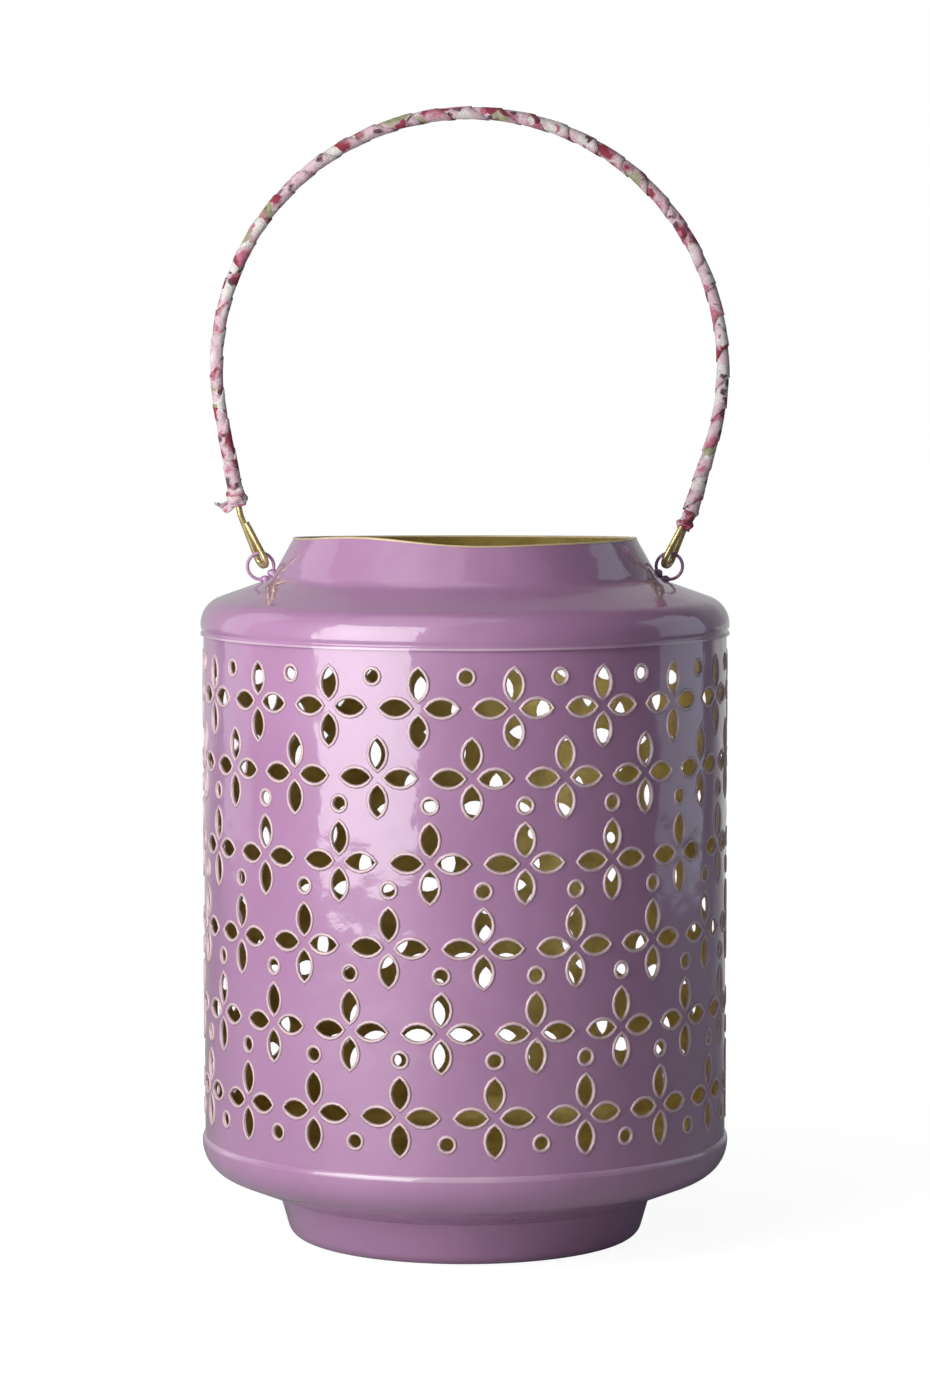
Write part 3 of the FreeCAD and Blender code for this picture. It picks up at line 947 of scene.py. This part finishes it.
def left_knot(at, b):
    """The knot on the left arm, with its loose frayed tail."""
    foot = at["left_neck"] + at["left_up"] * b.knot_above_neck
    root = foot + at["left_up"] * (b.knot_length * 0.22)
    front = Vector((0, -1, 0))
    side_way = at["left_up"].cross(front).normalized()

    def lump(t, turn):
        """A point of the knot, by its share along the arm and its turn round it."""
        swell = math.sin(math.pi * (t * 0.92 + 0.06)) ** 0.6
        size = KNOT_WAIST + (b.knot_radius - KNOT_WAIST) * swell
        ray = side_way * math.cos(turn) + front * math.sin(turn)
        spot = foot + at["left_up"] * (b.knot_length * 1.15 * t) + ray * size * folded(KNOT_FOLDS, t, turn)
        return spot + ray * noise.noise(spot * 800) * KNOT_CREASE

    def tail(t, v, lift):
        """A point of the tail, by its shares along and across; it waves, droops and has a ragged end."""
        ragged = 1.3 * MM * noise.noise(Vector((v * 9, 2.0, 5.0))) * t
        out = b.knot_radius * 0.4 + (b.tail_length + b.knot_radius * 0.5) * t + ragged
        wide = (2.9 - 1.4 * t + 1.1 * math.sin(t * 5.0)) * MM * v
        wave = 0.8 * MM * math.sin(v * 6 + t * 4.2) * (0.3 + t)
        fall = 1.5 * MM * math.sin(t * 2.6) - 0.4 * MM * t
        return root + Vector((-out, wide * 0.5 + wave * 0.5, wide + wave * 0.3 - fall + lift))

    bm = bunched(22, 36, lump, KNOT_PRINT)
    shares = [j / TAIL_COLUMNS - 0.5 for j in range(TAIL_COLUMNS + 1)]
    loop = [(v, TAIL_LIFT) for v in shares] + [(v, -TAIL_LIFT) for v in reversed(shares)]
    rings = []
    for t in (i / TAIL_ROWS for i in range(TAIL_ROWS + 1)):
        rings.append(cloth_ring(bm, [
            (tail(t, v, lift), (KNOT_PRINT + 0.008 * t, 0.006 + 0.004 * v, 0.0)) for v, lift in loop]))
    banded_rings(bm, rings)
    first, last = rings[0], rings[-1]
    for j in range(TAIL_COLUMNS):
        below = -1 - j
        bm.faces.new((first[j + 1], first[j], first[below], first[below - 1]))
        bm.faces.new((last[j], last[j + 1], last[below - 1], last[below]))
    return cloth_piece("cotton_knot", bm)


def right_tuck(at, b):
    """The bunched end of the strip round the right eye's neck."""
    top = b.eye_length + b.wrap_above_neck + 0.9 * MM
    run = b.tuck_length + 0.8 * MM
    short_way = at["up"].cross(at["across"])

    def bunch(t, turn):
        """A point of the tuck, by its share up the neck and its turn round it."""
        swell = 0.86 + 0.14 * math.cos(9.5 * t - 2.2)
        wide = TUCK_WIDTH * swell * (1 - 0.22 * t)
        deep = TUCK_DEPTH * swell * (1 - 0.16 * t)
        ray = at["across"] * math.cos(turn) * wide + short_way * math.sin(turn) * deep
        spot = on_eye(at, b, top - run * (1 - t)) + ray * folded(TUCK_FOLDS, t, turn)
        return spot + ray.normalized() * noise.noise(spot * 700) * TUCK_CREASE

    return cloth_piece("cotton_tuck", bunched(24, 36, bunch, TUCK_PRINT))


# Operators

# A face is on a skin of the drum if it lies this near to it, in sheets, and faces this squarely away
SKIN_SHEETS, SKIN_FACING = 0.08, 0.98

# In sheets: how deep the hollow over the cap's hem is, and how far past the seat's gap the pan's edge reaches
COVE_SHEETS, SEAM_SHEETS = 0.6, 1.1

# Where the mouth's rim strays from level: how far, in rim waves, at which turn from the front, and its reach
RIM_STRAYS = ((2.1, -36, 27), (-0.75, 0, 22))
RIM_BACK_DROP = 1.9

# The ears' points, then the solder's size, how lumpy it is, how far it sinks into the wire, and its widths
EAR_POINTS = 64
SOLDER_SIZE, SOLDER_LUMPS, SOLDER_SINK = 1.25 * MM, 0.16, 0.2
SOLDER_WIDTHS = (1.35, 1.15, 0.95)

# Where along the knot the winding ends, and its points in each turn and across the strip
WINDING_END = 0.7
POINTS_PER_TURN, POINTS_ACROSS = 22, 8


class LANTERN_OT_pierced_wall(bpy.types.Operator):
    """Make the pierced wall"""
    bl_idname = "lantern.pierced_wall"
    bl_label = "Pierced wall"

    def execute(self, context):
        s, p = context.scene.lantern_shell, context.scene.lantern_pattern
        bottom = shell_levels(s)["wall_bottom"]
        sizes = {key: getattr(p, key) for key in LanternPattern.__annotations__}
        sizes["first_row"] = bottom + s.pan_lap + p.first_row
        wall = grown("pierced_wall", pierced_wall, {
            "radius": s.wall_radius, "sheet": s.sheet, "bottom": bottom, "height": s.wall_height, **sizes,
            "outside": finish("lantern_enamel"), "inside": finish("gold_lacquer"),
            "edge": finish("opening_lip")})
        smooth_drum(wall.data, s.wall_radius, s.sheet)
        settle(wall, "lantern", "lilac_enamel", "pierced_body")
        return {"FINISHED"}


def smooth_drum(mesh, radius, sheet):
    """Gives the drum's two skins the normals of true cylinders."""
    mesh.polygons.foreach_set("use_smooth", [True] * len(mesh.polygons))
    normals = [(0.0, 0.0, 0.0)] * len(mesh.loops)
    places = [v.co for v in mesh.vertices]
    for face in mesh.polygons:
        outward = face.normal.dot(Vector((face.center.x, face.center.y, 0)).normalized())
        depth = radius - math.hypot(face.center.x, face.center.y)
        on_skin = min(abs(depth), abs(depth - sheet)) < sheet * SKIN_SHEETS
        if on_skin and abs(outward) > SKIN_FACING:
            for corner in face.loop_indices:
                p = places[mesh.loops[corner].vertex_index]
                away = Vector((p.x, p.y, 0)).normalized()
                normals[corner] = away if outward > 0 else -away
    mesh.normals_split_custom_set(normals)


class LANTERN_OT_spun_shells(bpy.types.Operator):
    """Make the shoulder cap, the base pan and the foot"""
    bl_idname = "lantern.spun_shells"
    bl_label = "Spun shells"

    def execute(self, context):
        s = context.scene.lantern_shell
        levels = shell_levels(s)
        skirt = levels["skirt"]
        hem = point(skirt, levels["wall_top"] - s.cap_lap)
        root = point(s.collar_root_radius, levels["collar_root"])
        mouth = point(levels["mouth_radius"], levels["mouth"])
        heading = (mouth - root).normalized()
        rim = mouth - heading * s.rim_bead
        middle = mouth + side(root, mouth) * (s.sheet / 2) - heading * s.rim_bead
        cap = spun("shoulder_and_collar", [hem, point(skirt, levels["shoulder"]), root, rim],
                   [s.cap_corner_radius, s.collar_blend_radius], s,
                   # The hem bead takes the paler lilac that paints its highlight line
                   ["lantern_enamel", "gold_lacquer", "mouth_rim", "worn_enamel"],
                   hem=coved(hem, s.hem_bead, s.hem_cove, s.sheet * COVE_SHEETS),
                   brim=rolled_over(middle, heading, s.rim_bead))
        work_rim(cap.data, levels["collar_root"], levels["mouth"], s.rim_wave)
        settle(cap, "lantern", "lilac_enamel", "shoulder_cap")
        floor_edge = point(s.foot_top_radius, s.foot_height)
        brim = point(skirt, levels["wall_bottom"] + s.pan_lap - s.seam_round)
        corner = point(skirt, levels["pan_corner"])
        pan = spun("flared_pan", [point(0, s.foot_height), floor_edge, corner, brim],
                   # The pan's upper edge takes the paler lilac that paints its highlight line
                   [0, s.pan_corner_radius], s, ["lantern_enamel", "gold_lacquer", "worn_enamel"],
                   brim=filled(brim, s.seat_gap + s.sheet * SEAM_SHEETS, s.seam_round))
        settle(pan, "lantern", "lilac_enamel", "base_pan")
        lip = point(s.foot_bottom_radius - s.foot_edge_radius - s.foot_lip_width, 0)
        foot = spun("flared_foot", [lip, point(s.foot_bottom_radius, 0), floor_edge], [s.foot_edge_radius], s,
                    ["lantern_enamel"] * 4)
        settle(foot, "lantern", "lilac_enamel", "foot_ring")
        return {"FINISHED"}


def work_rim(mesh, low, high, wave):
    """Bends the rim a little out of level, as hand work leaves it: high at the left, low in front and back."""
    for vert in mesh.vertices:
        rise = (vert.co.z - low) / (high - low)
        if rise > 0:
            turn = math.degrees(math.atan2(vert.co.x, -vert.co.y))
            stray = sum(far * math.exp(-((turn - at) / reach) ** 2) for far, at, reach in RIM_STRAYS)
            stray -= RIM_BACK_DROP * max(0.0, -math.cos(math.radians(turn)))
            vert.co.z += wave * stray * rise * rise


class LANTERN_OT_ears(bpy.types.Operator):
    """Make the ear rings and their solder"""
    bl_idname = "lantern.ears"
    bl_label = "Ears"

    def execute(self, context):
        b = context.scene.lantern_bail
        at = bail_layout(context.scene.lantern_shell, b)
        turns = [FULL_TURN * k / EAR_POINTS for k in range(EAR_POINTS)]
        for name, sign in (("right", 1), ("left", -1)):
            middle = point(at["ear"].x * sign, at["ear"].z)
            circle = [middle + point(math.cos(t), math.sin(t)) * b.ear_radius for t in turns]
            ring = grown_along(name + "_ear", round_wire, circle, {
                "thickness": b.ear_wire, "closed": True, "finish": finish("lantern_enamel")})
            settle(ring, "lantern", "lilac_enamel", name + "_ear_ring")
            settle(solder(name + "_solder", at, b, sign), "lantern", "lilac_enamel", name + "_ear_solder")
        return {"FINISHED"}


def solder(name, at, b, sign):
    """Two uneven beads that hold an ear to the collar and the shoulder; sign is 1 on the right."""
    bm = bmesh.new()
    for out in (at["collar_out"], at["shoulder_out"]):
        touch = at["ear"] - out * (b.ear_radius + b.ear_wire * SOLDER_SINK)
        touch.x *= sign
        for vert in bmesh.ops.create_icosphere(bm, subdivisions=4, radius=1.0)["verts"]:
            lump = 1 + SOLDER_LUMPS * noise.noise(vert.co * 1.7 + touch * 900)
            vert.co = touch + Vector(c * wide for c, wide in zip(vert.co, SOLDER_WIDTHS)) * lump * SOLDER_SIZE
    return meshed(name, bm, "lantern_enamel")


class LANTERN_OT_bail(bpy.types.Operator):
    """Make the bail's wire with its eyes"""
    bl_idname = "lantern.bail"
    bl_label = "Bail wire"

    def execute(self, context):
        b = context.scene.lantern_bail
        line = bail_points(bail_layout(context.scene.lantern_shell, b), b)
        wire = grown_along("wire_bail", round_wire, line, {
            "thickness": b.wire, "closed": False, "finish": finish("bail_brass")})
        settle(wire, "bail", "brass_wire", "bail_wire")
        return {"FINISHED"}


class LANTERN_OT_cloth(bpy.types.Operator):
    """Wind the cloth strip on the bail and tie its ends"""
    bl_idname = "lantern.cloth"
    bl_label = "Cloth on the bail"

    def execute(self, context):
        b = context.scene.lantern_bail
        at = bail_layout(context.scene.lantern_shell, b)
        right = at["neck"] + at["right_up"] * b.wrap_above_neck
        left = at["left_neck"] + at["left_up"] * (b.knot_above_neck + b.knot_length * WINDING_END)
        path = [right] + at["arch"] + [left]
        run = sum((q - p).length for p, q in zip(path[:-1], path[1:]))
        wrap = grown_along("cotton_wrap", cloth_winding, path, {
            "inner_radius": b.wrap_inner, "outer_radius": b.wrap_outer, "pitch": b.wrap_pitch,
            "strip_width": b.strip_width, "end_swell": b.end_swell, "end_swell_length": b.end_swell_length,
            "steps": int(run / b.wrap_pitch * POINTS_PER_TURN), "across": POINTS_ACROSS,
            "finish": finish("calico_cotton")})
        thicker = wrap.modifiers.new("cotton_thickness", "SOLIDIFY")
        thicker.thickness = b.strip_thickness
        thicker.offset = -1.0
        plain(wrap)
        settle(wrap, "bail", "printed_cotton", "fabric_wrap")
        knot = left_knot(at, b)
        settle(knot, "bail", "printed_cotton", "left_wrap_knot")
        tuck = right_tuck(at, b)
        settle(tuck, "bail", "printed_cotton", "right_wrap_tuck")
        return {"FINISHED"}


# Stage

FLOOR_RADIUS, FLOOR_DROP = 9.0, 0.2 * MM
FLOOR_GREY = (0.56, 0.56, 0.56, 1.0)
SHADOW_GREY = (0.22, 0.22, 0.22, 1.0)
FLOOR_MIRRORED, ROOM_MIRRORED = 0.55, 0.48
BEHIND = (-0.1, 0.995, 0.0)


class LANTERN_OT_stage(bpy.types.Operator):
    """Set the camera, the lamps and the floor"""
    bl_idname = "lantern.stage"
    bl_label = "Stage"

    def execute(self, context):
        scene, st = context.scene, context.scene.lantern_stage
        lens = bpy.data.cameras.new("camera")
        lens.sensor_fit = "VERTICAL"
        lens.sensor_height = 36.0
        lens.lens = st.lens
        lens.clip_start = 0.05
        eye = placed("camera", lens)
        eye.location = (0.0, -st.eye_distance, st.eye_height)
        eye.rotation_euler = (math.pi / 2 - st.eye_pitch, 0.0, 0.0)
        scene.camera = eye
        lamp("key_softbox", st.key_power, size=(0.47, 0.68), distance=0.60, azimuth=-41.0, height=0.39,
             aim_height=0.39, tint=(0.98, 1.0, 0.985))
        lamp("right_panel", st.fill_power, size=(0.62, 0.90), distance=1.0, azimuth=107.0, height=0.45,
             aim_height=0.40, tint=(0.76, 0.87, 1.0))
        lamp("left_panel", st.edge_power, size=(0.45, 1.10), distance=1.0, azimuth=-116.0, height=0.55,
             aim_height=0.40, tint=(0.94, 0.97, 1.0))
        lamp("overhead", st.top_power, size=(0.9, 0.9), distance=0.45, azimuth=-35.0, height=1.35,
             aim_height=0.15, tint=(1.0, 1.0, 1.0))
        floor()
        room(scene, st.room_level)
        scene.view_settings.view_transform = "Standard"
        return {"FINISHED"}


def lamp(name, power, size, distance, azimuth, height, aim_height, tint):
    """A rectangular soft lamp aimed at the lantern; azimuth is from the front, positive to the right."""
    light = bpy.data.lights.new(name, "AREA")
    light.energy = power
    light.shape = "RECTANGLE"
    light.size, light.size_y = size
    light.color = tint
    turn = math.radians(azimuth)
    obj = placed(name, light)
    obj.location = (distance * math.sin(turn), -distance * math.cos(turn), height)
    aim = Vector((0.0, 0.0, aim_height)) - obj.location
    obj.rotation_euler = aim.to_track_quat("-Z", "Y").to_euler()


def seen(g, mirrored):
    """How white the stage looks: fully to the eye and through glass, and by a given share in reflections."""
    path = g.node("ShaderNodeLightPath").outputs
    direct = g.math("MAXIMUM", path["Is Camera Ray"], path["Is Transmission Ray"])
    return g.math("MAXIMUM", direct, g.mul(path["Is Glossy Ray"], mirrored))


def floor():
    """A plain pale floor that stays near white to the eye and keeps a soft shadow."""
    bm = bmesh.new()
    bmesh.ops.create_circle(bm, cap_ends=True, segments=96, radius=FLOOR_RADIUS)
    obj = meshed("pale_floor", bm)
    obj.location.z = -FLOOR_DROP
    material, g, shader, place = surface("pale_floor")
    g.fill(shader, {"Base Color": FLOOR_GREY, "Roughness": 0.9})
    faint = g.node("ShaderNodeBsdfDiffuse", {"Color": SHADOW_GREY}).outputs[0]
    # Painted light: the floor's white is its own glow, a little weaker near the lantern, so the floor there is
    # a shade darker and its cast shadow shows
    glow = stretched(g, g.vector("LENGTH", place), 0.10, 0.55, 0.93, 1.0)
    white = g.node("ShaderNodeEmission", {"Color": WHITE, "Strength": glow}).outputs[0]
    to_eye = g.node("ShaderNodeAddShader", {0: faint, 1: white}).outputs[0]
    x, y, _ = g.split(place)
    behind = stretched(g, g.sub(y, g.math("ABSOLUTE", x)), 0.0, 0.6, 0.0, FLOOR_MIRRORED)
    mix = g.node("ShaderNodeMixShader", {0: seen(g, behind), 1: shader.outputs[0], 2: to_eye}).outputs[0]
    g.put(material.node_tree.nodes["Material Output"].inputs["Surface"], mix)
    obj.data.materials.append(material)


def room(scene, level):
    """White to the eye, half white behind the lantern in reflections, and an even plain light on it."""
    world = bpy.data.worlds.new("white_room")
    world.use_nodes = True
    g = Graph(world.node_tree)
    away = g.vector("DOT_PRODUCT", g.node("ShaderNodeTexCoord").outputs["Generated"], BEHIND)
    behind = stretched(g, away, 0.50, 0.95, 0.0, ROOM_MIRRORED)
    strength = g.add(g.mul(seen(g, behind), 1.0 - level), level)
    g.fill(world.node_tree.nodes["Background"], {"Color": WHITE, "Strength": strength})
    scene.world = world


class LANTERN_PT_panel(bpy.types.Panel):
    """Lists the lantern's pieces and sizes"""
    bl_idname = "LANTERN_PT_panel"
    bl_label = "Pierced lantern"
    bl_space_type = "VIEW_3D"
    bl_region_type = "UI"
    bl_category = "Lantern"

    def draw(self, context):
        column = self.layout.column()
        for operator in OPERATORS:
            column.operator(operator.bl_idname)
        for group, holder in GROUPS.items():
            box = self.layout.box()
            box.label(text=holder.__doc__)
            for key in holder.__annotations__:
                box.prop(getattr(context.scene, group), key)


OPERATORS = (LANTERN_OT_stage, LANTERN_OT_pierced_wall, LANTERN_OT_spun_shells, LANTERN_OT_ears,
             LANTERN_OT_bail, LANTERN_OT_cloth)
GROUPS = {
    "lantern_shell": LanternShell,
    "lantern_pattern": LanternPattern,
    "lantern_bail": LanternBail,
    "lantern_finish": LanternFinish,
    "lantern_stage": LanternStage,
}
CLASSES = (*GROUPS.values(), *OPERATORS, LANTERN_PT_panel)


def register():
    for each in CLASSES:
        bpy.utils.register_class(each)
    for group, holder in GROUPS.items():
        setattr(bpy.types.Scene, group, PointerProperty(type=holder))


def unregister():
    for group in GROUPS:
        delattr(bpy.types.Scene, group)
    for each in reversed(CLASSES):
        bpy.utils.unregister_class(each)


def main():
    register()
    bpy.ops.lantern.stage()
    bpy.ops.lantern.pierced_wall()
    bpy.ops.lantern.spun_shells()
    bpy.ops.lantern.ears()
    bpy.ops.lantern.bail()
    bpy.ops.lantern.cloth()
    bpy.context.view_layer.update()


if __name__ == "__main__":
    main()
